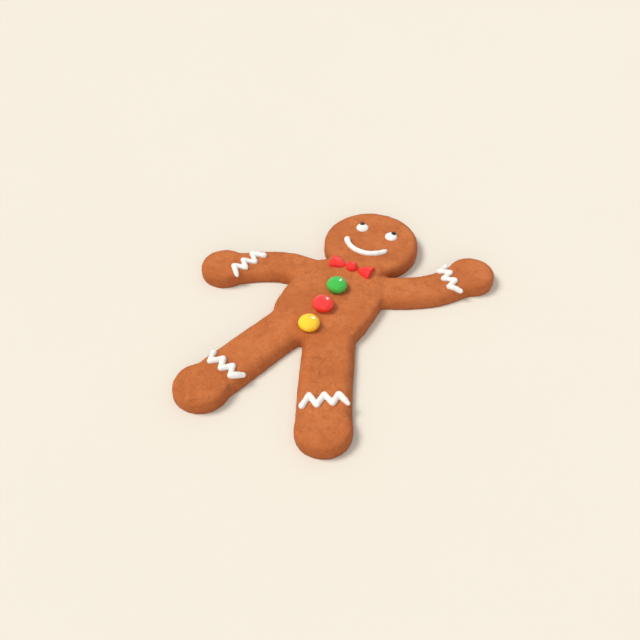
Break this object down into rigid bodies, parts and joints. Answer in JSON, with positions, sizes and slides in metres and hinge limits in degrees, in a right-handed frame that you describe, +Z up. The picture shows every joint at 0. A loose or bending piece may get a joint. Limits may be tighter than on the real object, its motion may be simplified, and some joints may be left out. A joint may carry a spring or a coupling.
{
  "type": "gingerbread man biscuit",
  "caption": "Flat baked gingerbread figure lying on its back, one arm raised, with piped icing cuffs, a smile, a bow tie and sugar-shelled buttons.",
  "frame": {"origin": "under the middle of the figure's outline, on the surface that it lies on", "axes": "+Z up through the thickness, towards the iced side; +Y towards the top of the head; +X towards the side of the raised arm"},
  "size_m": [0.1046, 0.1224, 0.0094],
  "materials": {
    "gingerbread": "matt baked biscuit",
    "white_icing": "dried royal icing, slightly satin",
    "black_icing": "dried icing, satin",
    "red_icing": "dried icing, satin",
    "green_shell": "polished sugar shell",
    "red_shell": "polished sugar shell",
    "yellow_shell": "polished sugar shell"
  },
  "bodies": {
    "root": {"dough": "gingerbread", "cuff_left_arm": "white_icing", "cuff_right_arm": "white_icing", "cuff_left_leg": "white_icing", "cuff_right_leg": "white_icing", "smile": "white_icing", "eye_left": "white_icing", "eye_right": "white_icing", "pupil_left": "black_icing", "pupil_right": "black_icing", "bow_left": "red_icing", "bow_right": "red_icing", "bow_knot": "red_icing", "button_green": "green_shell", "button_red": "red_shell", "button_yellow": "yellow_shell"}
  },
  "joints": []
}
